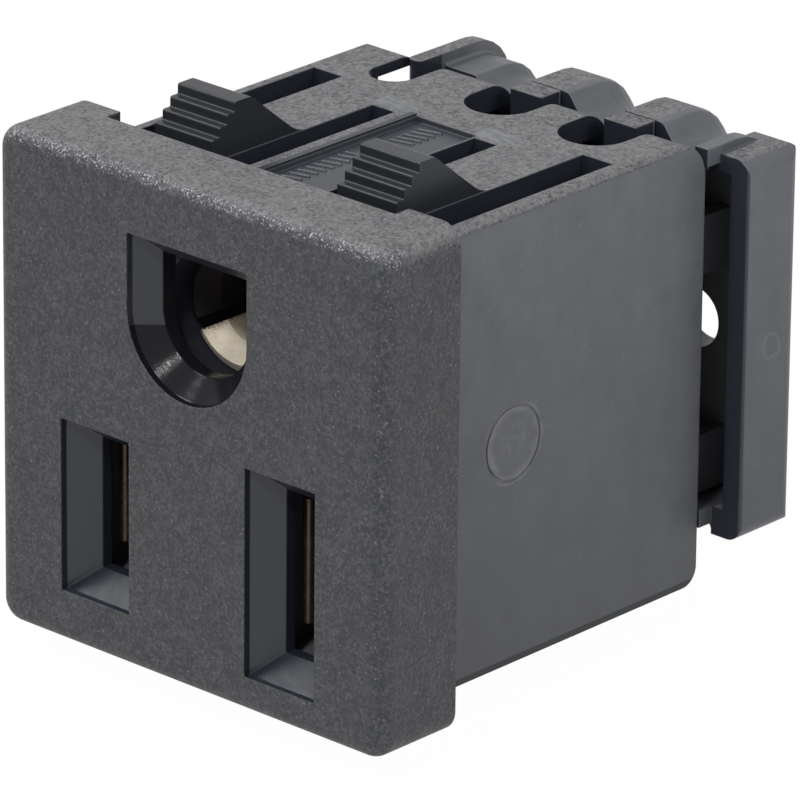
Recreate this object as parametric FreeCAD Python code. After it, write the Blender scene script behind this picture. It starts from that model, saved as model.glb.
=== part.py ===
import FreeCAD, Part
import math
import os
from FreeCAD import Vector

# Snap-in power socket for a sheet panel, with contacts that cut into the wires at the rear.
# Millimetres. The origin is the centre of the front face, +Y runs to the rear, +Z is up.

# Plug face, by the standard two blades and earth pin
blade_pitch = 12.7
earth_rise = 11.9
row_z = -5.85
line_x = -blade_pitch / 2
neutral_x = blade_pitch / 2
earth_z = row_z + earth_rise

# Front flange
flange_w = 26.5
flange_h = 26.9
flange_t = 5.42
flange_corner = 1.25
flange_round = 0.9
relief_t = 1.0
relief_side = 1.25

# Body behind the panel
body_w = 22.1
relief_w = body_w - 2 * relief_side
body_h = 24.3
body_drop = 0.2
body_l = 26.1
body_edge = 0.5
rear_round = 2.1
rear_foot_round = 1.0
side_wall = 0.9
top_wall = 1.4
body_top = body_h / 2 - body_drop
body_low = -body_h / 2 - body_drop
inner_x = body_w / 2 - side_wall
inner_top = body_top - top_wall
inner_low = body_low + top_wall

# How far a cutting block runs past a face, and how far a joined block reaches into its wall
past = 1.0
join = 0.1

# Openings in the front face
lip = 0.4
funnel_l = 1.65
mouth_w = 4.75
line_mouth_h = 9.36
neutral_mouth_h = 11.2
slot_w = 2.1
line_slot_h = 7.1
neutral_slot_h = 8.75
earth_mouth_r = 4.08
earth_mouth_top = 3.95
earth_hole_r = 3.0
earth_funnel_l = 1.45

# Contact cells in the solid core of the housing
front_wall = 2.3
rear_room = 10.6
core_l = body_l - rear_room
cell_w = 5.0
line_cell_h = 8.6
neutral_cell_h = 9.6
earth_cell_r = 3.55

# Stepped snap latches: two above, straddling the earth cell, and one below, between the blade cells
latch_w = 3.95
latch_x = 6.22
latch_slot_out = 2.0
latch_slot_in = 1.55
arm_t = top_wall
arm_tip_y = 6.25
arm_behind = 6.1
arm_inner_behind = 8.1
arm_root_y = body_l - arm_behind
arm_inner_root_y = body_l - arm_inner_behind
step_count = 4
step_run = 0.545
step_rise = 0.545
first_rise = 1.15
latch_crest = 0.6
latch_ramp = 39.0
step_edge = 0.12
step_foot = 0.08
crest_round = 0.35
ramp_foot = 1.8
flex_room = 3.1
low_slot = 1.0
low_root_wall = 0.5
low_root_y = core_l - low_root_wall

# Shallow panel between the upper latches, left bare
panel_left = -1.5
panel_right = 2.6
panel_sink = 0.3
panel_behind = 7.8
panel_rear = body_l - panel_behind
rib_w = 0.35
rib_up = 0.15

# Round mould mark on the right side
mark_r = 2.05
mark_line = 0.15
mark_sink = 0.08
mark_y = 11.87
mark_up = 5.45

# Wire ways, which run from top to bottom through the rear
wire_pitch = 6.35
wire_shift = 0.2
wire_w = 3.9
wire_behind = 3.25
wire_y = body_l - wire_behind
narrow_w = 2.6
narrow_x = -6.65
neutral_wire_x = wire_shift + wire_pitch
earth_wire_x = wire_shift

# Relief in the left wall at the top rear corner
corner_l = 3.7
corner_y = body_l - corner_l
corner_low = 8.0
corner_roof = 0.6

# Contact carrier
carrier_fit = 0.15
carrier_side = 1.35
carrier_foot = 2.0
carrier_behind = 1.8
carrier_rear = body_l - carrier_behind
carrier_top = 9.9

# Sheet brass contacts
sheet = 0.6
contact_set = 0.9
contact_front = front_wall + contact_set
blade_grip = 1.35
mouth_flare = 1.9
leaf_spread = 3.4
bend_r = 0.6
line_leaf_h = 5.3
neutral_leaf_h = 6.7
pin_grip_r = 2.35
pin_flare_r = 2.95
pin_flare_edge = 0.5
pin_flare_l = 0.3
pin_neck_l = 0.25
pin_slit = 0.6
pin_set = 1.3
pin_front = front_wall + pin_set
pin_mouth_l = 1.3
pin_slit_end = 4.0
blade_mouth_l = 1.6
blade_base_l = 3.2
fork_gap = 0.5
fork_lead = 0.7
fork_web = 0.9
fork_behind = 2.1
fork_l = 3.4
fork_tip = body_l - fork_behind
fork_root = fork_tip - fork_l
stem_w = 1.8
fork_clear = 0.3
fork_under = 0.8

# Rear cover, which slides on and presses the wires home
cover_gap = 0.15
cover_l = 5.15
cover_t = 1.6
cover_wall = 0.95
cover_inset = 1.25
cover_left = cover_inset - body_w / 2
cover_low = -9.35
cover_fall = 0.7
cover_round = 2.6
bend_steps = 6
cover_foot_round = 0.5
cover_rim = 0.85
valley_fall = 1.4
ridge_w = 2.1
ridge_draft = 0.25
ridge_foot = 0.2
flank_lip = 0.45
flank_lip_fall = 0.06
flank_lip_round = 0.3
flank_run = 1.48
flank_round = 1.9
nose_reach = 1.45
nose_tip = body_l - nose_reach
line_rib_w = 0.9
line_rib_side = 0.15
rib_right = narrow_x - line_rib_side
rib_left = rib_right - line_rib_w
rib_lead = 0.35
rib_foot = 0.2
rib_nose = 0.35
flat_w = 2.1
flat_right = rib_right + flat_w
flat_edge = 0.15
flat_run = 0.5
flat_foot = 0.6
corner_step = 7.8
score_w = 0.12
score_sink = 0.15
score_reach = 1.0
fork_pass = 1.6
port_r = 1.65
port_z = 0.35
port_shift = 0.95

# Side grip of the cover
grip_reach = 1.95
grip_gap = 1.1
grip_top = 10.8
grip_drop = 0.6
grip_round = 0.9
grip_rear_round = 0.7
grip_front_round = 0.2
grip_armpit = 0.35
grip_hollow = 0.75

# Snap legs of the cover and their run
leg_t = 0.8
leg_h = 3.2
leg_reach = 8.3
leg_front = body_l - leg_reach
leg_hook = 0.45
hook_ramp = 0.9
hook_land = 0.3
stop_gap = 0.1
leg_fit = 0.35
leg_low_z = -6.6
leg_high_z = 5.4
cover_travel = 4.4


def block(x0, x1, y0, y1, z0, z1):
    return Part.makeBox(x1 - x0, y1 - y0, z1 - z0, Vector(x0, y0, z0))


def rect_y(cx, cz, w, h, y):
    """A rectangle that faces along Y, as a wire."""
    corners = ((-1, -1), (1, -1), (1, 1), (-1, 1), (-1, -1))
    return Part.makePolygon([Vector(cx + i * w / 2, y, cz + k * h / 2) for i, k in corners])


def arch_y(cx, cz, r, top, y):
    """A flat-topped U that faces along Y, as a wire."""
    left, low, right = Vector(cx - r, y, cz), Vector(cx, y, cz - r), Vector(cx + r, y, cz)
    up = Vector(0, 0, top)
    sides = [(left + up, left), (right, right + up), (right + up, left + up)]
    lines = [Part.LineSegment(a, b).toShape() for a, b in sides]
    return Part.Wire([lines[0], Part.Arc(left, low, right).toShape(), lines[1], lines[2]])


def bend(before, here, after, r):
    """Start, middle and end of a round corner."""
    u, v = (before - here).normalize(), (after - here).normalize()
    half = u.getAngle(v) / 2
    trim = r / math.tan(half)
    middle = here + (u + v).normalize() * (r / math.sin(half) - r)
    return here + u * trim, middle, here + v * trim


def rounded(corners, place):
    """A closed wire of straight runs. A corner is its two coordinates and its radius."""
    points = [place(a, b) for a, b, _ in corners]
    turns = []
    for i, here in enumerate(points):
        r = corners[i][2]
        after = points[(i + 1) % len(points)]
        turns.append(bend(points[i - 1], here, after, r) if r else (here, here, here))
    edges = []
    for i, (start, middle, end) in enumerate(turns):
        edges.append(Part.LineSegment(turns[i - 1][2], start).toShape())
        if corners[i][2]:
            edges.append(Part.Arc(start, middle, end).toShape())
    return Part.Wire(edges)


def seen_along_x(corners, x0, x1):
    """A solid from its outline in the side view."""
    return prism(rounded(corners, lambda y, z: Vector(x0, y, z)), Vector(x1 - x0, 0, 0))


def seen_along_y(corners, y0, y1):
    """A solid from its outline in the front view."""
    return prism(rounded(corners, lambda x, z: Vector(x, y0, z)), Vector(0, y1 - y0, 0))


def seen_along_z(corners, z0, z1):
    """A solid from its outline in the view from above."""
    return prism(rounded(corners, lambda x, y: Vector(x, y, z0)), Vector(0, 0, z1 - z0))


def prism(wire, along):
    return Part.Face(wire).extrude(along)


def outline(points, along):
    """A closed outline of straight lines, given a thickness."""
    loop = [Vector(*p) for p in points]
    return prism(Part.makePolygon(loop + loop[:1]), along)


def channel(cx, w, y, z0, z1):
    """A U-shaped channel along Z, open to the rear."""
    r = w / 2
    left, tip, right = Vector(cx - r, y, z0), Vector(cx, y - r, z0), Vector(cx + r, y, z0)
    back = Vector(0, body_l + cover_l - y, 0)
    runs = [(right, right + back), (right + back, left + back), (left + back, left)]
    edges = [Part.Arc(left, tip, right).toShape()]
    edges += [Part.LineSegment(a, b).toShape() for a, b in runs]
    return prism(Part.Wire(edges), Vector(0, 0, z1 - z0))


def cut_all(shape, tools):
    for tool in tools:
        shape = shape.cut(tool)
    return shape


def fuse_all(shape, others):
    for other in others:
        shape = shape.fuse(other)
    return shape.removeSplitter()


def latch(cx, w, wall_face, side):
    """One stepped wedge on the arm's face. side is 1 on the top wall and -1 on the bottom wall."""
    y, rise = arm_tip_y, first_rise
    corners = [(y, -arm_t, 0), (y, rise, step_edge)]
    for _ in range(step_count - 1):
        y += step_run
        corners.append((y, rise, step_foot))
        rise += step_rise
        corners.append((y, rise, step_edge))
    y += step_run + latch_crest
    foot = y + rise / math.tan(math.radians(latch_ramp))
    end = foot + ramp_foot
    corners += [(y, rise, crest_round), (foot, 0, ramp_foot), (end, 0, 0), (end, -arm_t, 0)]
    corners = [(py, wall_face + side * pz, r) for py, pz, r in corners]
    return seen_along_x(corners, cx - w / 2, cx + w / 2)


def wire_channels(z0, z1):
    """The three wire ways, line, earth and neutral."""
    ways = [channel(narrow_x, narrow_w, wire_y - (wire_w - narrow_w) / 2, z0, z1)]
    for x in (earth_wire_x, neutral_wire_x):
        ways.append(channel(x, wire_w, wire_y, z0, z1))
    return ways


def make_shell():
    """Flange and body before anything is cut."""
    x, z, r = flange_w / 2, flange_h / 2, flange_corner
    flange = seen_along_y([(-x, -z, r), (x, -z, r), (x, z, r), (-x, z, r)], 0, flange_t)
    front = [e for e in flange.Edges if e.BoundBox.YMax < flange_t / 2]
    flange = flange.makeFillet(flange_round, front)
    half, root = body_w / 2, flange_t - join
    end_view = [(-half, body_low, 0), (half, body_low, 0), (half, body_top, body_edge),
                (-half, body_top, body_edge)]
    side_view = [(root, body_low, 0), (body_l, body_low, rear_foot_round), (body_l, body_top, rear_round),
                 (root, body_top, 0)]
    body = seen_along_y(end_view, root, body_l).common(seen_along_x(side_view, -half, half))
    return flange.fuse(body)


def front_openings():
    """Funnels and slots of the plug face."""
    tools = []
    through = front_wall + join
    blades = ((line_x, line_mouth_h, line_slot_h), (neutral_x, neutral_mouth_h, neutral_slot_h))
    for x, mouth_h, slot_h in blades:
        front = rect_y(x, row_z, mouth_w, mouth_h, -past)
        mouth = rect_y(x, row_z, mouth_w, mouth_h, lip)
        slot = rect_y(x, row_z, slot_w, slot_h, funnel_l)
        tools.append(prism(front, Vector(0, lip + past, 0)))
        tools.append(Part.makeLoft([mouth, slot], True, True))
        tools.append(prism(slot, Vector(0, through - funnel_l, 0)))
    inner_top_rise = earth_mouth_top - (earth_mouth_r - earth_hole_r)
    front = arch_y(0, earth_z, earth_mouth_r, earth_mouth_top, -past)
    mouth = arch_y(0, earth_z, earth_mouth_r, earth_mouth_top, lip)
    hole = arch_y(0, earth_z, earth_hole_r, inner_top_rise, earth_funnel_l)
    tools.append(prism(front, Vector(0, lip + past, 0)))
    tools.append(Part.makeLoft([mouth, hole], True, True))
    tools.append(prism(hole, Vector(0, through - earth_funnel_l, 0)))
    return tools


def contact_cells():
    """Cells in the core, open to the rear, that hold the contacts."""
    rear = core_l + past
    tools = []
    for x, h in ((line_x, line_cell_h), (neutral_x, neutral_cell_h)):
        tools.append(block(x - cell_w / 2, x + cell_w / 2, front_wall, rear, row_z - h / 2, row_z + h / 2))
    centre = Vector(0, front_wall, earth_z)
    tools.append(Part.makeCylinder(earth_cell_r, rear - front_wall, centre, Vector(0, 1, 0)))
    return tools


def upper_latch_cuts():
    """Slots round each upper arm, and the room in which it bends."""
    tools = []
    half = latch_w / 2
    deep, over = inner_top - flex_room, body_top + past
    for side in (-1, 1):
        near, far = latch_x - half, latch_x + half
        slots = ((near - latch_slot_in, far + latch_slot_out, flange_t - relief_t, arm_tip_y),
                 (near - latch_slot_in, near, arm_tip_y - join, arm_inner_root_y),
                 (far, far + latch_slot_out, arm_tip_y - join, arm_root_y))
        for a, b, y0, y1 in slots:
            x0, x1 = sorted((side * a, side * b))
            tools.append(block(x0, x1, y0, y1, deep, over))
        x0, x1 = sorted((side * (near - latch_slot_in), side * (far + latch_slot_out)))
        tools.append(block(x0, x1, flange_t, arm_inner_root_y, deep, inner_top))
    return tools


def lower_latch_cuts():
    """The same round the lower arm."""
    half = latch_w / 2
    wide = half + low_slot
    deep, under = inner_low + flex_room, body_low - past
    tools = [block(-wide, wide, flange_t - relief_t, arm_tip_y, under, deep)]
    for side in (-1, 1):
        x0, x1 = sorted((side * half, side * wide))
        tools.append(block(x0, x1, arm_tip_y - join, low_root_y, under, deep))
    tools.append(block(-wide, wide, flange_t, core_l + past, inner_low, deep))
    return tools


def side_mark():
    """A shallow round mould mark on the right side."""
    centre = Vector(body_w / 2 - mark_sink, mark_y, row_z + mark_up)
    ring = Part.makeCylinder(mark_r, past, centre, Vector(1, 0, 0))
    return ring.cut(Part.makeCylinder(mark_r - mark_line, past, centre, Vector(1, 0, 0)))


def make_housing():
    shape = make_shell()
    relief = relief_w / 2
    front, rear = flange_t - relief_t, body_l + past
    tools = front_openings() + contact_cells() + upper_latch_cuts() + lower_latch_cuts()
    tools.append(block(-relief, relief, front, flange_t + join, body_top, flange_h))
    tools.append(block(-relief, relief, front, flange_t + join, -flange_h, body_low))
    tools.append(block(-inner_x, inner_x, core_l, rear, inner_low, inner_top))
    tools.append(block(-body_w, narrow_x, corner_y, rear, corner_low, body_top - corner_roof))
    tools += wire_channels(body_low - past, body_top + past)
    tools.append(block(panel_left, panel_right, front, panel_rear, body_top - panel_sink, body_top + past))
    tools.append(side_mark())
    shape = cut_all(shape, tools)
    added = [latch(side * latch_x, latch_w, body_top, 1) for side in (-1, 1)]
    added.append(latch(0, latch_w, body_low, -1))
    rib_base, rib_left_side = body_top - join, panel_left - rib_w
    added.append(block(rib_left_side, panel_left, front, panel_rear, rib_base, body_top + rib_up))
    return fuse_all(shape, added)


def make_carrier():
    """Insert that closes the cells, holds the contacts and cradles the wires."""
    wide = inner_x - carrier_fit
    slim = inner_x - carrier_side
    low = inner_low + carrier_fit
    foot = block(-wide, wide, core_l, core_l + carrier_foot, low, inner_top - carrier_fit)
    tower = block(-slim, slim, core_l, carrier_rear, low, carrier_top)
    shape = foot.fuse(tower)
    shape = cut_all(shape, wire_channels(low - past, inner_top + past))
    thick = sheet / 2 + fork_clear / 2
    stem = stem_w / 2 + fork_clear / 2
    for x, z, w in fork_places():
        under, over = z - thick, z + thick
        slot = block(x - w / 2, x + w / 2, fork_root - fork_under, carrier_rear + past, under, over)
        hole = block(x - stem, x + stem, core_l - past, fork_root, under, over)
        shape = cut_all(shape, [slot, hole])
    run_end = leg_front + hook_ramp + hook_land + cover_travel + stop_gap
    for side in (-1, 1):
        for z in (leg_low_z, leg_high_z):
            x0, x1 = sorted((side * (slim - leg_hook - leg_fit), side * (slim + join)))
            z0, z1 = z - leg_h / 2 - leg_fit, z + leg_h / 2 + leg_fit
            shape = shape.cut(block(x0, x1, leg_front - leg_fit, run_end, z0, z1))
    return shape.removeSplitter()


def fork_places():
    """Where each wire fork stands: its X and Z, and the width of its wire way."""
    return ((narrow_x, row_z + line_leaf_h / 2 - sheet / 2, narrow_w),
            (earth_wire_x, earth_z - pin_grip_r + sheet / 2, wire_w),
            (neutral_wire_x, row_z + neutral_leaf_h / 2 - sheet / 2, wire_w))


def sheet_strip(points, height, z0):
    """Bent strip: a line of runs and round bends in plan, thickened and given a height."""
    loop = [Vector(*p, z0) for p in points]
    last = loop[0]
    edges = []
    for before, here, after in zip(loop, loop[1:], loop[2:]):
        start, middle, end = bend(before, here, after, bend_r)
        edges.append(Part.LineSegment(last, start).toShape())
        edges.append(Part.Arc(start, middle, end).toShape())
        last = end
    edges.append(Part.LineSegment(last, loop[-1]).toShape())
    around = Part.Wire(edges).makeOffset2D(sheet / 2, 2, False, False, False)
    return prism(around, Vector(0, 0, height))


def wire_fork(place):
    """Flat fork whose slit cuts into the wire, on a stem from the contact's base."""
    x, z, w = place
    half, gap, stem = w / 2 - fork_clear, fork_gap / 2, stem_w / 2
    tip, root, lead = fork_tip, fork_root, fork_lead
    right = [(gap, root + fork_web), (gap, tip - lead), (gap + lead, tip), (half, tip), (half, root),
             (stem, root), (stem, core_l - sheet)]
    around = right + [(-px, py) for px, py in reversed(right)]
    return outline([(x + px, py, z - sheet / 2) for px, py in around], Vector(0, 0, sheet))


def blade_contact(x, leaf_h, place):
    """Hairpin of two leaves that grip a blade, with its wire fork."""
    base_y = core_l - sheet / 2
    grip, spread = blade_grip / 2 + sheet / 2, leaf_spread / 2
    flare = mouth_flare / 2 + sheet / 2
    throat = contact_front + blade_mouth_l
    waist = base_y - blade_base_l
    plan = [(x - flare, contact_front + sheet / 2), (x - grip, throat), (x - spread, waist),
            (x - spread, base_y), (x + spread, base_y), (x + spread, waist), (x + grip, throat),
            (x + flare, contact_front + sheet / 2)]
    shape = sheet_strip(plan, leaf_h, row_z - leaf_h / 2)
    return shape.fuse(wire_fork(place)).removeSplitter()


def make_earth_contact(place):
    """Slit sleeve for the earth pin, with its base and wire fork."""
    r, out = pin_grip_r, pin_flare_r
    base_y = core_l
    throat = pin_front + pin_mouth_l
    section = [(r, base_y), (r, throat), (out, pin_front), (out + pin_flare_edge, pin_front + pin_flare_l),
               (r + sheet, throat + pin_neck_l), (r + sheet, base_y)]
    loop = [Vector(px, py, earth_z) for px, py in section]
    face = Part.Face(Part.makePolygon(loop + loop[:1]))
    sleeve = face.revolve(Vector(0, 0, earth_z), Vector(0, 1, 0), 360)
    for turn in (90, 210, 330):
        slit = block(0, out + past, pin_front - past, base_y - pin_slit_end, -pin_slit / 2, pin_slit / 2)
        slit.rotate(Vector(0, 0, 0), Vector(0, 1, 0), -turn)
        slit.translate(Vector(0, 0, earth_z))
        sleeve = sleeve.cut(slit)
    base = Part.makeCylinder(r + sheet, sheet, Vector(0, core_l - sheet, earth_z), Vector(0, 1, 0))
    return fuse_all(sleeve, [base, wire_fork(place)])


def ridge(centre, top, low):
    """Corners of one ridge: steep on the left, hollowed out on the right."""
    left, right = centre - ridge_w / 2, centre + ridge_w / 2
    return [(left - ridge_draft, low, ridge_foot), (left, top, 0), (right, top, 0),
            (right + flank_lip, top - flank_lip_fall, flank_lip_round),
            (right + flank_run, low, flank_round)]


def cover_profile(fall):
    """Front view of the cover: flat underside, and a ridged top that lies lower by the fall."""
    top = body_top - fall
    low = top - valley_fall
    strip = top - cover_fall
    right = body_w / 2
    corners = [(cover_left, cover_low, 0), (cover_left, corner_step, 0), (rib_left, corner_step, 0),
               (rib_left, top, 0), (rib_right, top, 0), (rib_right, strip, rib_foot),
               (flat_right, strip, flat_edge), (flat_right + flat_run, low, flat_foot)]
    for centre in (earth_wire_x, neutral_wire_x):
        corners += ridge(centre, top, low)
    rim = right - cover_rim
    corners += [(rim, low, 0), (rim, strip, 0), (right, strip, 0), (right, cover_low, 0)]
    return corners


def cover_block():
    """The cover before it is hollowed. Ridges and valleys bend down alike at the rear."""
    front, rear = body_l + cover_gap, body_l + cover_l
    bend_y = rear - cover_round
    sections = []
    for i in range(bend_steps + 1):
        turn = math.radians(90 * i / bend_steps)
        y = bend_y + cover_round * math.sin(turn)
        profile = cover_profile(cover_round * (1 - math.cos(turn)))
        sections.append(rounded(profile, lambda x, z: Vector(x, y, z)))
    shape = seen_along_y(cover_profile(0), front, bend_y).fuse(Part.makeLoft(sections, True, True))
    side_view = [(front, cover_low, 0), (front, body_top, 0), (rear, body_top, 0),
                 (rear, cover_low, cover_foot_round)]
    return shape.common(seen_along_x(side_view, -body_w, body_w))


def make_grip():
    """Upright finger grip that stands out from the cover's right side."""
    side, out = body_w / 2, body_w / 2 + grip_reach
    root, low = side - cover_rim, cover_low - grip_drop
    front, rear = body_l + grip_gap, body_l + cover_l
    end_view = [(root, cover_low, 0), (side, cover_low, grip_armpit), (side, low, 0),
                (out, low, grip_round), (out, grip_top, grip_round), (root, grip_top, 0)]
    plan = [(root, front, 0), (out, front, grip_front_round), (out, rear, grip_rear_round), (root, rear, 0)]
    side_view = [(front, low, 0), (rear, low, cover_foot_round), (rear, grip_top, cover_foot_round),
                 (front, grip_top, 0)]
    shape = seen_along_y(end_view, front, rear).common(seen_along_z(plan, low, grip_top))
    shape = shape.common(seen_along_x(side_view, root, out))
    inner = (root - past, side + grip_hollow, front - past, rear - cover_t)
    return shape.cut(block(*inner, cover_low + cover_wall, grip_top - cover_wall))


def pusher(x0, x1, tip, nose):
    """Upright rib that presses one wire onto its fork, on a web from the rear wall."""
    front, back = body_l + cover_gap + join, body_l + cover_l - cover_t + join
    roof = body_top - valley_fall - cover_wall + join
    corners = [(x0, front, 0), (x0, tip, nose), (x1, tip, nose), (x1, front, 0)]
    web = block(x0, x1, front - join, back, cover_low, roof)
    return seen_along_z(corners, cover_low, body_top).fuse(web)


def make_legs():
    """Four snap legs that run in the gaps beside the carrier."""
    legs = []
    root = body_l + cover_l - cover_t + join
    out = inner_x - leg_fit
    for side in (-1, 1):
        for z in (leg_low_z, leg_high_z):
            hook, crest = out - leg_t - leg_hook, leg_front + hook_ramp
            points = [(out, root), (out, leg_front), (out - leg_t, leg_front), (hook, crest),
                      (hook, crest + hook_land), (out - leg_t, crest + hook_land), (out - leg_t, root)]
            flat = [(side * px, py, z - leg_h / 2) for px, py in points]
            legs.append(outline(flat, Vector(0, 0, leg_h)))
    return legs


def cover_cuts():
    """Passes for the forks, score lines round the ridges and the ports behind the wire ways."""
    rear = body_l + cover_l
    front = body_l + cover_gap
    tools = []
    thick = sheet / 2 + fork_clear
    for x, z, w in fork_places():
        under, over, end = z - thick, z + thick, fork_tip + fork_pass
        tools.append(block(x - w / 2, x + w / 2, nose_tip - past, end, under, over))
    score_low = body_top - 2 * valley_fall
    for x in (earth_wire_x, neutral_wire_x):
        half, core = ridge_w / 2 + score_reach, ridge_w / 2 - score_sink
        ring = block(x - half, x + half, front - score_w, front, score_low, body_top + past)
        kept = block(x - core, x + core, front - past, front + past, score_low, body_top - score_sink)
        tools.append(ring.cut(kept))
    for x in (narrow_x, earth_wire_x, neutral_wire_x + port_shift):
        tools.append(Part.makeCylinder(port_r, cover_l, Vector(x, rear - cover_t, port_z), Vector(0, 1, 0)))
    return tools


def make_cover():
    front, inner_rear = body_l + cover_gap, body_l + cover_l - cover_t
    shape = cover_block()
    left, floor = cover_left + cover_wall, cover_low + cover_wall
    valley_roof = body_top - valley_fall - cover_wall
    side_roof = body_top - cover_fall - cover_wall
    shape = shape.cut(block(left, inner_x, front - past, inner_rear, floor, valley_roof))
    shape = shape.cut(block(inner_x - join, body_w, front - past, inner_rear, floor, side_roof))
    noses = [pusher(rib_left, rib_right, nose_tip - rib_lead, rib_nose)]
    for x in (earth_wire_x, neutral_wire_x):
        noses.append(pusher(x - ridge_w / 2, x + ridge_w / 2, nose_tip, 0))
    added = noses + [make_grip()] + make_legs()
    return cut_all(fuse_all(shape, added), cover_cuts()).removeSplitter()


def main():
    os.makedirs("parts", exist_ok=True)
    line_fork, earth_fork, neutral_fork = fork_places()
    nodes = {
        "housing": make_housing(),
        "contact_carrier": make_carrier(),
        "line_contact": blade_contact(line_x, line_leaf_h, line_fork),
        "neutral_contact": blade_contact(neutral_x, neutral_leaf_h, neutral_fork),
        "earth_contact": make_earth_contact(earth_fork),
        "wire_cover": make_cover(),
    }
    for name, shape in nodes.items():
        solids = len(shape.Solids)
        print(name, "valid", shape.isValid(), "solids", solids, "volume", round(shape.Volume, 2))
        shape.exportStep(os.path.join("parts", name + ".step"))


main()
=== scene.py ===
import math

import bpy
from mathutils import Matrix, Vector


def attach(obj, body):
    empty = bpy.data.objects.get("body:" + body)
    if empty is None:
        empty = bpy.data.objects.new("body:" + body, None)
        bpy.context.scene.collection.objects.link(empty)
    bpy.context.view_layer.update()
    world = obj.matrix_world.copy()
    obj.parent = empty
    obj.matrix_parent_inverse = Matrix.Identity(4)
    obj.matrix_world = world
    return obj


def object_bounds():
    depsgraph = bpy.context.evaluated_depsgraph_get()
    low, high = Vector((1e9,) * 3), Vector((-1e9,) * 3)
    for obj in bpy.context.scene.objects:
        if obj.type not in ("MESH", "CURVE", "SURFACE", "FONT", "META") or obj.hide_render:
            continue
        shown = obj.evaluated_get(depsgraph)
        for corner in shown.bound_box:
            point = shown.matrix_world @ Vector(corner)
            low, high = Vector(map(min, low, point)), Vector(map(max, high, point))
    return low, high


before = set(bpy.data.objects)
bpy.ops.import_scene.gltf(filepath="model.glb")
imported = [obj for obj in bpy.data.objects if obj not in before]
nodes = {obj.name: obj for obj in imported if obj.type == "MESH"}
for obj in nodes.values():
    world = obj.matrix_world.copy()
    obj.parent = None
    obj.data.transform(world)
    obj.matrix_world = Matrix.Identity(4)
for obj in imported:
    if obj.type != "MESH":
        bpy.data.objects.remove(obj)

cad_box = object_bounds()
MM = 0.001
scene = bpy.context.scene

# Camera, at the place worked out from the photograph
CAMERA_AT = (0.27526, -0.28552, 0.16294)
AZIMUTH, ELEVATION, ROLL = 42.429, 22.049, 0.589
LENS, SENSOR = 390.446, 36.0
CLIP_NEAR, CLIP_FAR = 0.01, 10.0

camera_data = bpy.data.cameras.new("camera")
camera_data.lens = LENS
camera_data.sensor_width = SENSOR
camera_data.clip_start = CLIP_NEAR
camera_data.clip_end = CLIP_FAR
camera = bpy.data.objects.new("camera", camera_data)
scene.collection.objects.link(camera)
turn = Matrix.Rotation(math.radians(AZIMUTH), 4, "Z")
turn = turn @ Matrix.Rotation(math.radians(90 - ELEVATION), 4, "X")
turn = turn @ Matrix.Rotation(math.radians(ROLL), 4, "Z")
camera.matrix_world = Matrix.Translation(CAMERA_AT) @ turn
scene.camera = camera

# Node building. A Mix node lists its sockets for plain numbers first and those for colours after them
MIX_NUMBERS, NUMBER_OUT = (2, 3), 0
MIX_COLOURS, COLOUR_OUT = (6, 7), 2
BEVEL_SAMPLES = 8


class Tree:
    """The node tree of a material or of the world, with short calls for the nodes used here."""

    def __init__(self, owner):
        self.owner = owner
        owner.use_nodes = True
        self.tree = owner.node_tree
        self.tree.nodes.clear()

    def add(self, kind, **settings):
        made = self.tree.nodes.new(kind)
        for key, value in settings.items():
            setattr(made, key, value)
        return made

    def feed(self, socket, value):
        if isinstance(value, bpy.types.NodeSocket):
            self.tree.links.new(value, socket)
        else:
            socket.default_value = value

    def math(self, operation, *values):
        made = self.add("ShaderNodeMath", operation=operation)
        for socket, value in zip(made.inputs, values):
            self.feed(socket, value)
        return made.outputs[0]

    def join(self, operation, values):
        """Works through a list from left to right."""
        out = values[0]
        for value in values[1:]:
            out = self.math(operation, out, value)
        return out

    def plus(self, *values):
        return self.join("ADD", values)

    def times(self, *values):
        return self.join("MULTIPLY", values)

    def minus(self, value, taken):
        return self.math("SUBTRACT", value, taken)

    def both(self, *masks):
        return self.join("MULTIPLY", masks)

    def either(self, *masks):
        return self.join("MAXIMUM", masks)

    def without(self, mask, gone):
        return self.times(mask, self.minus(1.0, gone))

    def above(self, value, limit):
        return self.math("GREATER_THAN", value, limit)

    def below(self, value, limit):
        return self.math("LESS_THAN", value, limit)

    def seen_directly(self):
        """1 for rays from the camera, from mirrors and through glass, else 0."""
        rays = self.add("ShaderNodeLightPath").outputs
        return self.either(rays["Is Camera Ray"], rays["Is Glossy Ray"], rays["Is Transmission Ray"])

    def show(self, factor, first, second, output):
        """Mixes two shaders and links them to the output."""
        mixed = self.add("ShaderNodeMixShader")
        for socket, value in zip(mixed.inputs, (factor, first.outputs[0], second.outputs[0])):
            self.feed(socket, value)
        out = self.add(output)
        self.feed(out.inputs["Surface"], mixed.outputs[0])


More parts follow.
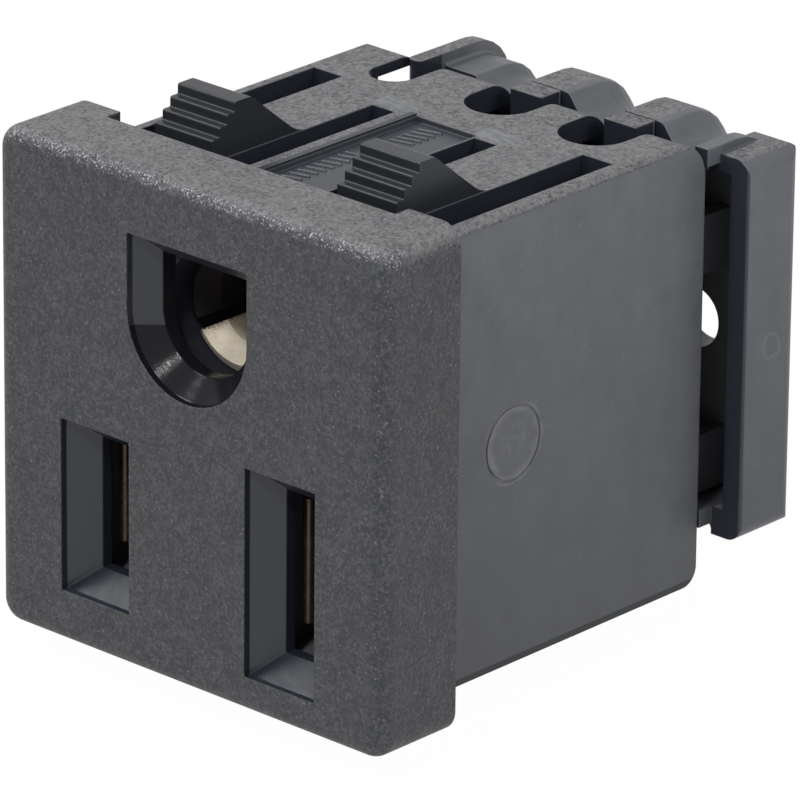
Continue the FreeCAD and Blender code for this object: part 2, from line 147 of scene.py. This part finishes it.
class Shader(Tree):
    """A new material, whose nodes read the place on the object and the way the face points."""

    def __init__(self, name):
        super().__init__(bpy.data.materials.new(name))
        self.coords = self.add("ShaderNodeTexCoord")
        self.place = self.split(self.coords.outputs["Object"])
        self.facing = self.split(self.coords.outputs["Normal"])

    def split(self, vector):
        made = self.add("ShaderNodeSeparateXYZ")
        self.feed(made.inputs[0], vector)
        return made.outputs["X"], made.outputs["Y"], made.outputs["Z"]

    def ramp(self, value, low, high, out_low=0.0, out_high=1.0, smooth=False):
        """Takes low to high onto out_low to out_high, and holds still past both ends."""
        made = self.add("ShaderNodeMapRange", clamp=True)
        if smooth:
            made.interpolation_type = "SMOOTHSTEP"
        for name, number in (("Value", value), ("From Min", low), ("From Max", high),
                             ("To Min", out_low), ("To Max", out_high)):
            self.feed(made.inputs[name], number)
        return made.outputs["Result"]

    def fall(self, value, low, high):
        """1 up to low, then down to 0 at high."""
        return self.ramp(value, low, high, 1.0, 0.0)

    def band(self, value, rise, drop, start=0.0):
        """Rises from start to 1 over one pair of limits and drops to 0 over the other."""
        return self.times(self.ramp(value, *rise, start, 1.0), self.fall(value, *drop))

    def zone(self, place, x=None, y=None, z=None):
        """1 inside a box, else 0. Limits are pairs in mm, and a side without a pair is open."""
        masks = []
        for value, limits in zip(place, (x, y, z)):
            if limits:
                low, high = limits
                masks.append(self.above(value, low * MM))
                masks.append(self.below(value, high * MM))
        return self.both(*masks)

    def noise(self, size, detail=2.0, rough=0.5, stretch=(1, 1, 1), at=(0, 0, 0)):
        """Noise with blobs of about size metres."""
        mapping = self.add("ShaderNodeMapping")
        self.feed(mapping.inputs["Vector"], self.coords.outputs["Object"])
        self.feed(mapping.inputs["Scale"], stretch)
        self.feed(mapping.inputs["Location"], at)
        made = self.add("ShaderNodeTexNoise")
        self.feed(made.inputs["Vector"], mapping.outputs[0])
        self.feed(made.inputs["Scale"], 1.0 / size)
        self.feed(made.inputs["Detail"], detail)
        self.feed(made.inputs["Roughness"], rough)
        return made.outputs["Fac"]

    def blend(self, factor, a, b):
        """The colour between a and b."""
        made = self.add("ShaderNodeMix", data_type="RGBA")
        self.feed(made.inputs[0], factor)
        for index, colour in zip(MIX_COLOURS, (a, b)):
            self.feed(made.inputs[index], (*colour, 1.0) if isinstance(colour, tuple) else colour)
        return made.outputs[COLOUR_OUT]

    def mix(self, factor, a, b):
        """The number between a and b."""
        made = self.add("ShaderNodeMix", data_type="FLOAT")
        self.feed(made.inputs[0], factor)
        for index, value in zip(MIX_NUMBERS, (a, b)):
            self.feed(made.inputs[index], value)
        return made.outputs[NUMBER_OUT]

    def bump(self, height, distance, normal=None):
        made = self.add("ShaderNodeBump")
        self.feed(made.inputs["Distance"], distance)
        self.feed(made.inputs["Strength"], 1.0)
        self.feed(made.inputs["Height"], height)
        if normal is not None:
            self.feed(made.inputs["Normal"], normal)
        return made.outputs["Normal"]

    def edge(self, radius):
        """Normals that round every edge by a small radius."""
        made = self.add("ShaderNodeBevel", samples=BEVEL_SAMPLES)
        self.feed(made.inputs["Radius"], radius)
        return made.outputs["Normal"]

    def span(self, a, b, centre):
        """Distance from a centre in the plane of two coordinates."""
        across = self.math("POWER", self.minus(a, centre[0]), 2.0)
        along = self.math("POWER", self.minus(b, centre[1]), 2.0)
        return self.math("SQRT", self.plus(across, along))

    def surface(self, **inputs):
        made = self.add("ShaderNodeBsdfPrincipled")
        for name, value in inputs.items():
            self.feed(made.inputs[name.replace("_", " ")], value)
        out = self.add("ShaderNodeOutputMaterial")
        self.feed(out.inputs["Surface"], made.outputs[0])
        return self.owner


# The range that holds most of a noise's values, and an end for zones that have none
MID = (0.3, 0.7)
FAR = 99.0

# Colours of the plastic: the grain from its pits up to a painted glint, then the smooth, worn and glossy
# faces, a painted dark reflection for the earth funnel, painted light for recesses in shade, and the
# insert's tone
PIT = (0.0135, 0.0150, 0.0182)
GRAIN = (0.136, 0.136, 0.140)
GLINT_TONE = (0.50, 0.51, 0.53)
SATIN = (0.066, 0.069, 0.078)
WORN = (0.118, 0.120, 0.124)
GLOSS = (0.0162, 0.0182, 0.0262)
LATCH = (0.0190, 0.0205, 0.0235)
POLISH_DARK_REFLECTION = (0.0080, 0.0085, 0.0105)
DEEP_PAINTED_LIGHT = (0.085, 0.087, 0.095)
SHADE = (0.0420, 0.0435, 0.0480)

# Roughness, as a pair where it follows a noise, and specular level
GRAIN_ROUGH, SATIN_ROUGH = (0.46, 0.62), (0.40, 0.48)
GLOSS_ROUGH, POLISH_ROUGH = 0.30, 0.13
FULL_SHINE, DIM_SHINE, POLISH_SHINE = 0.5, 0.26, 0.16

# Relief: its depth, the rounding of edges, and the size and share of the smooth faces' waves
RELIEF_DEPTH = 0.095 * MM
EDGE_ROUND, LATCH_ROUND = 0.10 * MM, 0.02 * MM
FINE, FINE_SHARE = 0.09 * MM, 0.05
WAVE, WAVE_SHARE = 1.6 * MM, 0.25

# Spark-eroded grain: the sizes of its layers with their share of the height
GRIT, GRIT_SHARE = 0.10 * MM, 0.55
PEBBLE, PEBBLE_SHARE = 0.21 * MM, 0.85
COARSE, COARSE_SHARE = 0.60 * MM, 0.35
HEIGHT_RANGE = (0.68, 1.08)

# How light the grain is and how strongly it varies, from upright faces to level ones: painted light, with
# level faces painted lighter and their grain stronger as if lit from above
UPRIGHT_TO_LEVEL = (0.1, 0.8)
PAINTED_LIGHTNESS, CONTRAST = (0.10, 0.62), (0.44, 1.05)
# Painted glints: light specks in the grain, their size, range and strength
GLINT_SPECK, GLINT_SPECK_RANGE, GLINT_SPECK_GAIN = 0.14 * MM, (0.65, 0.72), 0.85
CLOUD, CLOUD_SWAY = 2.4 * MM, 0.08

# Rounded crests: where they start and end by the way they face, and how much lighter they are painted, as a
# painted highlight; and the rubbed one along the front, darker, with painted glints
CREST_RISE, CREST_DROP, CREST_HIGHLIGHT = (0.15, 0.5), (0.72, 0.96), 0.16
FRONT_EDGE, EDGE_DARK = (0.9 * MM, 2.2 * MM), 0.22
GLINT, GLINT_RANGE, GLINT_GAIN = 0.125 * MM, (0.58, 0.68), 0.6

# Satin faces: streaks, blotches and scuffs, and how much darker the foot of the part is, as painted shade
STREAK, STREAK_RANGE, STREAK_SWAY = 0.5 * MM, (0.25, 0.75), 0.10
BLOTCH, BLOTCH_SWAY = 1.3 * MM, 0.12
SCUFF, SCUFF_RANGE, SCUFF_GAIN = 0.22 * MM, (0.66, 0.78), 0.5
SHADE_FOOT_TO_TOP, FOOT_SHADE_LEVEL = (-12 * MM, 11 * MM), 0.60

# Heights and depths of the solids that the zones follow, in mm
BODY_TOP = 11.95
FLANGE_REAR = 5.42
SKIN = 0.03

# Zones of the housing, as boxes with limits in mm
FRONT_FACE = {"y": (-FAR, SKIN)}
FLANGE = {"y": (-FAR, FLANGE_REAR + 0.02)}
BODY = {"y": (FLANGE_REAR, FAR)}
PLATE = {"y": (4.3, FAR), "z": (9.6, BODY_TOP + SKIN)}
RECESS = {"x": (-1.55, 2.65), "y": (4.0, 18.35), "z": (-FAR, BODY_TOP - 0.05)}
BEHIND_LATCHES = {"y": (18.25, 19.6)}
INSIDE = {"x": (-10.9, 10.9), "y": (SKIN, FAR), "z": (-FAR, 11.9)}
CELLS = {"y": (2.35, 18.0), "z": (-FAR, 1.0)}
EARTH_HOLE = {"x": (-4.3, 4.3), "y": (SKIN, 2.4), "z": (1.6, 10.3)}
HOLE_FLOOR, HOLE_BACK = {"z": (-FAR, 5.05)}, {"y": (1.5, FAR)}
RIGHT_SIDE = {"x": (10.9, FAR)}

# Zones that lie alike on both sides of the middle, as distances from it in mm
FLANGE_SIDES, FLANGE_ENDS = {"x": (12.2, FAR)}, {"z": (12.4, FAR)}
LATCH_WIDTH, LATCH_HEIGHT = {"x": (2.2, 4.6)}, {"z": (BODY_TOP + 0.04, FAR)}

# Zones of the cover
RIDGES = ({"x": (-7.7, -6.8)}, {"x": (-0.87, 1.27)}, {"x": (5.48, 7.62)})
RIDGE_HEIGHT = {"z": (11.0, FAR)}
GRIP, GRIP_FACE = {"x": (11.2, FAR)}, {"x": (12.9, FAR)}
INNER_END = {"y": (-FAR, 26.0)}
HIDDEN_FRONT = {"x": (-FAR, 10.9), "y": (28.5, 30.2)}

# Limits for one part of a face's normal, past which the face counts as turned that way
DIM_TURN, UP_TURN, RIDGE_TURN, LEVEL_TURN, FRONT_TURN = 0.5, 0.3, 0.35, 0.9, -0.5


def waves(s):
    """Height of the smooth faces: low waves under a trace of grit."""
    return s.plus(s.times(s.noise(FINE), FINE_SHARE), s.times(s.noise(WAVE), WAVE_SHARE))


def spark_grain(s, height):
    """Colour of the spark-eroded grain: fine grit and softer hollows, with painted light on level faces, a
    few light specks as painted glints, and painted highlights and glints on the crests.
    """
    # painted light: level faces are painted lighter than upright ones, and their grain stronger
    level = s.ramp(s.facing[2], *UPRIGHT_TO_LEVEL, *PAINTED_LIGHTNESS, smooth=True)
    contrast = s.ramp(s.facing[2], *UPRIGHT_TO_LEVEL, *CONTRAST, smooth=True)
    cloudy = s.ramp(s.noise(CLOUD, detail=5.0, rough=0.65), *MID, -CLOUD_SWAY, CLOUD_SWAY)
    grainy = s.minus(s.ramp(height, *HEIGHT_RANGE), 0.5)
    # painted glints: a few light specks
    glint_speck = s.ramp(s.noise(GLINT_SPECK, at=(3, 1, 2)), *GLINT_SPECK_RANGE)
    lightness = s.plus(level, s.times(grainy, contrast), s.times(cloudy, contrast))
    lightness = s.plus(lightness, s.times(glint_speck, GLINT_SPECK_GAIN))

    # painted highlight on rounded crests; the rubbed front crest is darker and carries painted glints
    crest = s.band(s.facing[2], CREST_RISE, CREST_DROP)
    rubbed = s.times(crest, s.fall(s.place[1], *FRONT_EDGE))
    lightness = s.minus(lightness, s.times(rubbed, EDGE_DARK))
    lightness = s.plus(lightness, s.times(s.minus(crest, rubbed), CREST_HIGHLIGHT))
    glint = s.times(rubbed, s.ramp(s.noise(GLINT, detail=1.0, at=(5, 6, 1)), *GLINT_RANGE))
    return s.blend(s.times(glint, GLINT_GAIN), s.blend(lightness, PIT, GRAIN), GLINT_TONE)


def satin(s, blotch, worn):
    """Colour of the smooth faces: faint streaks and blotches, a few fine scuffs, and painted shade towards
    the foot.
    """
    streak = s.noise(STREAK, detail=3.0, stretch=(1, 0.25, 0.12))
    scuff = s.ramp(s.noise(SCUFF, stretch=(1, 0.5, 0.9), at=(4, 4, 9)), *SCUFF_RANGE)
    streaky = s.ramp(streak, *STREAK_RANGE, -STREAK_SWAY, STREAK_SWAY)
    blotchy = s.ramp(blotch, *MID, -BLOTCH_SWAY, BLOTCH_SWAY)
    even = s.plus(streaky, blotchy, 1.0, s.times(scuff, SCUFF_GAIN))
    scaled = s.add("ShaderNodeVectorMath", operation="SCALE")
    s.feed(scaled.inputs[0], s.blend(worn, SATIN, WORN))
    # painted shade: darker towards the foot of the part
    s.feed(scaled.inputs["Scale"], s.times(even, s.ramp(s.place[2], *SHADE_FOOT_TO_TOP, FOOT_SHADE_LEVEL, 1.0)))
    return scaled.outputs[0]


def plastic(name, zones):
    """Black moulded plastic. zones(s) gives a mask by name for each finish that the piece has."""
    s = Shader(name)
    masks = zones(s)
    grit = s.noise(GRIT, detail=3.0, rough=0.7)
    pebble = s.noise(PEBBLE, rough=0.65, at=(1, 8, 3))
    coarse = s.noise(COARSE, detail=3.0, rough=0.6, at=(7, 2, 5))
    height = s.plus(s.times(grit, GRIT_SHARE), s.times(pebble, PEBBLE_SHARE), s.times(coarse, COARSE_SHARE))
    blotch = s.noise(BLOTCH, detail=5.0, rough=0.7)

    # smooth finishes come first, each over the one before, and the grain lies over them all
    colour = satin(s, blotch, masks["worn"])
    # the earth funnel's glossy tone is a painted dark reflection, and the tone of the cells is painted
    # light
    for finish, tone in (("gloss", GLOSS), ("latch", LATCH), ("polish_dark_reflection", POLISH_DARK_REFLECTION), ("deep_painted_light", DEEP_PAINTED_LIGHT)):
        if finish in masks:
            colour = s.blend(masks[finish], colour, tone)
    colour = s.blend(masks["rough"], colour, spark_grain(s, height))

    roughness = s.mix(masks["gloss"], s.ramp(blotch, *MID, *SATIN_ROUGH), GLOSS_ROUGH)
    dim = s.both(masks["gloss"], s.above(s.facing[2], DIM_TURN))
    rounding = EDGE_ROUND
    if "latch" in masks:
        dim = s.either(masks["latch"], dim)
        rounding = s.mix(masks["latch"], EDGE_ROUND, LATCH_ROUND)
    shine = s.mix(dim, FULL_SHINE, DIM_SHINE)
    # the funnel's glossier faces: their shine is lowered with their colour as a painted dark reflection
    if "polish_dark_reflection" in masks:
        roughness = s.mix(masks["polish_dark_reflection"], roughness, POLISH_ROUGH)
        shine = s.mix(masks["polish_dark_reflection"], shine, POLISH_SHINE)
    roughness = s.mix(masks["rough"], roughness, s.ramp(grit, *MID, *GRAIN_ROUGH))
    relief = s.mix(masks["rough"], waves(s), height)
    normal = s.bump(relief, RELIEF_DEPTH, s.edge(rounding))
    return s.surface(Base_Color=colour, Roughness=roughness, Normal=normal, Specular_IOR_Level=shine)


def carrier_plastic(name):
    """The insert's plain plastic. Its colour and roughness are the same all over."""
    s = Shader(name)
    shine = s.mix(s.above(s.facing[2], DIM_TURN), FULL_SHINE, DIM_SHINE)
    normal = s.bump(waves(s), RELIEF_DEPTH, s.edge(EDGE_ROUND))
    return s.surface(Base_Color=(*SHADE, 1.0), Roughness=GLOSS_ROUGH, Normal=normal,
                     Specular_IOR_Level=shine)


# Marks on the right side: centre in y and z, how uneven they are, and the limits of ring and patch
MOULD_MARK = (11.95 * MM, -0.40 * MM)
MOULD_SWAY, MOULD_SWAY_SIZE = 0.22 * MM, 1.4 * MM
MOULD_RING = ((1.50 * MM, 1.80 * MM), (2.00 * MM, 2.22 * MM))
RING_START, RING_GAIN = 0.15, 0.9
PATCH, PATCH_GAIN = (0.9 * MM, 1.3 * MM), 0.5
RUBBING, RUBBING_RANGE = 0.35 * MM, (0.5, 0.62)
EJECTOR_MARK = (29.27 * MM, 0.28 * MM)
EJECTOR_SWAY, EJECTOR_SWAY_SIZE = 0.12 * MM, 0.8 * MM
EJECTOR_RING = ((0.50 * MM, 0.60 * MM), (0.66 * MM, 0.78 * MM))
EJECTOR_GAIN = 0.5

# How glossy the recess on top is, and the scrapes behind the latches
RECESS_GLOSS = 0.30
SCRAPE, SCRAPE_RANGE, SCRAPE_START = 0.30 * MM, (0.42, 0.58), 0.25


def uneven_span(s, centre, sway, size):
    """Distance from a point of a side face, made uneven by noise."""
    away = s.span(s.place[1], s.place[2], centre)
    return s.plus(away, s.ramp(s.noise(size), *MID, -sway, sway))


def housing_zones(s):
    """The textured faces are the front, the flange's rim and the plate on top."""
    place = s.place
    size = [s.math("ABSOLUTE", value) for value in place]
    up = s.above(s.facing[2], UP_TURN)
    front = s.zone(place, **FRONT_FACE)
    flange_edge = s.either(s.zone(size, **FLANGE_SIDES), s.zone(size, **FLANGE_ENDS))
    rim = s.both(s.zone(place, **FLANGE), flange_edge)
    plate = s.both(up, s.zone(place, **PLATE))
    recess = s.zone(place, **RECESS)
    behind_latches = s.both(up, s.zone(size, **LATCH_WIDTH), s.zone(place, **BEHIND_LATCHES))
    rough = s.either(front, rim, s.without(s.without(plate, recess), behind_latches))

    latch = s.both(s.zone(size, **LATCH_HEIGHT), s.zone(place, **BODY))
    inside = s.zone(place, **INSIDE)
    gloss = s.without(s.either(latch, inside), s.times(recess, RECESS_GLOSS))
    # painted light: the cells get a lighter tone where they lie in shade
    deep_painted_light = s.both(inside, s.zone(place, **CELLS))
    # the earth funnel's lower and rear faces: glossy, and painted dark as a painted dark reflection
    earth_hole = s.zone(place, **EARTH_HOLE)
    low_or_back = s.either(s.zone(place, **HOLE_FLOOR), s.zone(place, **HOLE_BACK))

    # moulding mark on the right side: a pale uneven ring round a rubbed patch
    from_mark = uneven_span(s, MOULD_MARK, MOULD_SWAY, MOULD_SWAY_SIZE)
    ring = s.band(from_mark, *MOULD_RING, start=RING_START)
    rubbed = s.ramp(s.noise(RUBBING, detail=3.0, at=(2, 2, 6)), *RUBBING_RANGE)
    patch = s.times(s.fall(from_mark, *PATCH), rubbed)
    drawn = s.either(s.times(ring, RING_GAIN), s.times(patch, PATCH_GAIN))
    mark = s.both(s.zone(place, **RIGHT_SIDE), drawn)
    strokes = s.noise(SCRAPE, detail=3.0, stretch=(0.4, 1, 1), at=(6, 3, 3))
    scraped = s.times(behind_latches, s.ramp(strokes, *SCRAPE_RANGE, SCRAPE_START, 1.0))
    return {"rough": rough, "gloss": gloss, "worn": s.either(mark, scraped), "latch": latch,
            "deep_painted_light": deep_painted_light, "polish_dark_reflection": s.both(earth_hole, low_or_back)}


def cover_zones(s):
    """The textured faces are the ridges' tops and the top of the side grip."""
    place = s.place
    ridges = s.either(*[s.zone(place, **ridge) for ridge in RIDGES])
    tops = s.both(s.above(s.facing[2], RIDGE_TURN), s.zone(place, **RIDGE_HEIGHT), ridges)
    grip = s.both(s.above(s.facing[2], LEVEL_TURN), s.zone(place, **GRIP))
    front = s.below(s.facing[1], FRONT_TURN)

    # round ejector mark on the grip's outer face
    from_mark = uneven_span(s, EJECTOR_MARK, EJECTOR_SWAY, EJECTOR_SWAY_SIZE)
    ring = s.band(from_mark, *EJECTOR_RING)
    mark = s.both(s.zone(place, **GRIP_FACE), s.times(ring, EJECTOR_GAIN))
    # the hidden front faces get painted light where they lie in shade
    return {"rough": s.either(tops, grip), "gloss": s.either(s.zone(place, **INNER_END), front),
            "worn": mark, "deep_painted_light": s.both(front, s.zone(place, **HIDDEN_FRONT))}


# Brass: the bright, the usual and the stained tone of each, the blades' tones painted dark as painted
# shade, and the tone of the sleeve's painted shade
EARTH_TONES = ((1.0, 0.97, 0.90), (0.98, 0.89, 0.74), (0.88, 0.72, 0.52))
BLADE_SHADED_TONES = ((0.14, 0.10, 0.07), (0.10, 0.068, 0.046), (0.05, 0.036, 0.028))
SLEEVE_SHADE_TONE = (0.012, 0.011, 0.011)
EARTH_METALLIC, BLADE_METALLIC = 0.35, 0.8
BRASS_ROUGH, SLEEVE_SHADE_ROUGH, SLEEVE_SHADE_SHINE = (0.26, 0.44), 0.55, 0.05

# Brass surface: relief, grit with its share of bright metal, rolling lines and stains
BRASS_RELIEF = 0.014 * MM
BRASS_GRIT, GRIT_LIGHT = 0.10 * MM, (0.4, 0.7, 0.0, 0.6)
BRASS_ROLL, BRASS_STAIN, STAIN_RANGE = 0.35 * MM, 0.9 * MM, (0.35, 0.7)

# The earth sleeve: the height of its axis, where its front part ends in mm, and where it turns dark with
# painted shade
SLEEVE_AXIS = 6.05 * MM
SLEEVE_FRONT_END = 9.0
SHADE_TURN, TURN_SWAY = (-0.98, -0.80), 0.06


def brass(name, tones, metallic, shaded):
    """Stamped brass. A shaded sleeve is painted dark and matt as painted shade all round and along its rear
    part, but for its lit lower leaf.
    """
    s = Shader(name)
    bright, light, stained = tones
    grain = s.noise(BRASS_GRIT, detail=3.0, rough=0.6)
    roll = s.noise(BRASS_ROLL, detail=3.0, stretch=(1, 0.15, 1))
    stain = s.ramp(s.noise(BRASS_STAIN, detail=4.0), *STAIN_RANGE)
    colour = s.blend(stain, light, stained)
    colour = s.blend(s.ramp(grain, *GRIT_LIGHT), colour, bright)
    roughness = s.ramp(roll, *MID, *BRASS_ROUGH)
    shine = FULL_SHINE
    if shaded:
        # painted shade: the sleeve is made dark and matt all round and along its rear part, but for its lit
        # lower leaf
        turn = s.math("ARCTAN2", s.place[0], s.minus(SLEEVE_AXIS, s.place[2]))
        turn = s.plus(turn, s.ramp(grain, *MID, -TURN_SWAY, TURN_SWAY))
        painted_shade = s.either(s.fall(turn, *SHADE_TURN), s.zone(s.place, y=(SLEEVE_FRONT_END, FAR)))
        colour = s.blend(painted_shade, colour, SLEEVE_SHADE_TONE)
        roughness = s.mix(painted_shade, roughness, SLEEVE_SHADE_ROUGH)
        metallic = s.mix(painted_shade, metallic, 0.0)
        shine = s.mix(painted_shade, FULL_SHINE, SLEEVE_SHADE_SHINE)
    return s.surface(Base_Color=colour, Metallic=metallic, Roughness=roughness, Specular_IOR_Level=shine,
                     Normal=s.bump(s.plus(grain, roll), BRASS_RELIEF))


housing_plastic = plastic("housing_plastic", housing_zones)
# the blades' brass is painted dark: painted shade for the slots they sit in
blade_brass = brass("blade_brass", BLADE_SHADED_TONES, BLADE_METALLIC, shaded=False)
for name, material in (
    ("housing", housing_plastic),
    ("wire_cover", plastic("cover_plastic", cover_zones)),
    ("contact_carrier", carrier_plastic("carrier_plastic")),
    ("earth_contact", brass("earth_brass", EARTH_TONES, EARTH_METALLIC, shaded=True)),
    ("line_contact", blade_brass),
    ("neutral_contact", blade_brass),
):
    nodes[name].data.materials.clear()
    nodes[name].data.materials.append(material)

# Two fields of plain parallel ribs on the floor of the recess on top
RECESS_DEPTH = 0.30
RECESS_Z = (BODY_TOP - RECESS_DEPTH) * MM
RIB_SINK, RIB_RISE = 0.02 * MM, 0.11 * MM
RIB_FOOT, RIB_CREST, RIB_TAPER = 0.12 * MM, 0.05 * MM, 0.07 * MM
RIB_SLANT = math.radians(14)
CORNERS = ((-1, -1), (1, -1), (1, 1), (-1, 1))

# Name, x, first y, step, count and half length of the ribs, in mm
RIB_FIELDS = (
    ("recess_ribs_rear", 0.05, 15.5, 0.52, 5, 0.72),
    ("recess_ribs_front", -0.45, 7.4, 0.58, 10, 0.62),
)


def ribs(centres, half_length):
    """Parallel bars that narrow upwards."""
    verts, faces = [], []
    along = Vector((math.cos(RIB_SLANT), math.sin(RIB_SLANT), 0))
    across = Vector((-along.y, along.x, 0))
    for x, y in centres:
        first = len(verts)
        for z, length, width in ((RECESS_Z - RIB_SINK, half_length, RIB_FOOT),
                                 (RECESS_Z + RIB_RISE, half_length - RIB_TAPER, RIB_CREST)):
            for end, side in CORNERS:
                spot = Vector((x, y, z)) + along * end * length + across * side * width
                verts.append(tuple(spot))
        faces.append((first + 3, first + 2, first + 1, first))
        faces.append((first + 4, first + 5, first + 6, first + 7))
        for k in range(4):
            after = (k + 1) % 4
            faces.append((first + k, first + after, first + 4 + after, first + 4 + k))
    return verts, faces


for name, x, first_y, step, count, half_length in RIB_FIELDS:
    centres = [(x * MM, (first_y + step * i) * MM) for i in range(count)]
    verts, faces = ribs(centres, half_length * MM)
    mesh = bpy.data.meshes.new(name)
    mesh.from_pydata(verts, [], faces)
    mesh.materials.append(housing_plastic)
    field = bpy.data.objects.new(name, mesh)
    scene.collection.objects.link(field)
    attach(field, "socket")

# Floor, which keeps a soft shadow and shows white round the part
FLOOR_REACH, FLOOR_GAP = 1.5, 0.02 * MM
FLOOR_WHITE, FLOOR_GLOW = 0.85, 0.985

floor_z = cad_box[0].z - FLOOR_GAP
floor_corners = [(FLOOR_REACH * x, FLOOR_REACH * y, floor_z) for x, y in CORNERS]
floor_mesh = bpy.data.meshes.new("floor")
floor_mesh.from_pydata(floor_corners, [], [(0, 1, 2, 3)])
floor = bpy.data.objects.new("floor", floor_mesh)
scene.collection.objects.link(floor)

paint = Tree(bpy.data.materials.new("floor_paint"))
diffuse = paint.add("ShaderNodeBsdfDiffuse")
paint.feed(diffuse.inputs["Color"], (FLOOR_WHITE, FLOOR_WHITE, FLOOR_WHITE, 1.0))
glow = paint.add("ShaderNodeEmission")
paint.feed(glow.inputs["Strength"], 1.0)
paint.show(paint.times(paint.seen_directly(), FLOOR_GLOW), diffuse, glow, "ShaderNodeOutputMaterial")
floor_mesh.materials.append(paint.owner)

# World: white where it is seen, a softer level where it lights
AMBIENT = 0.50

scene.world = bpy.data.worlds.new("world")
sky = Tree(scene.world)
soft = sky.add("ShaderNodeBackground")
sky.feed(soft.inputs["Strength"], AMBIENT)
white = sky.add("ShaderNodeBackground")
sky.feed(white.inputs["Strength"], 1.0)
sky.show(sky.seen_directly(), soft, white, "ShaderNodeOutputWorld")

# Lamps: name, place, size, power and the point that each one faces
LAMPS = (
    ("key", (-0.30, -0.16, 0.52), 0.26, 2.5, (0, 0.013, 0)),
    ("front", (0.12, -0.37, 0.46), 0.10, 2.0, (0, 0, 0.005)),
    ("side", (0.55, 0.12, 0.36), 0.35, 1.9, (0, 0.013, 0)),
)
for name, place, size, power, aim in LAMPS:
    data = bpy.data.lights.new(name, "AREA")
    data.shape = "DISK"
    data.size = size
    data.energy = power
    lamp = bpy.data.objects.new(name, data)
    scene.collection.objects.link(lamp)
    lamp.location = place
    lamp.rotation_euler = (Vector(aim) - Vector(place)).to_track_quat("-Z", "Y").to_euler()

scene.view_settings.view_transform = "Standard"
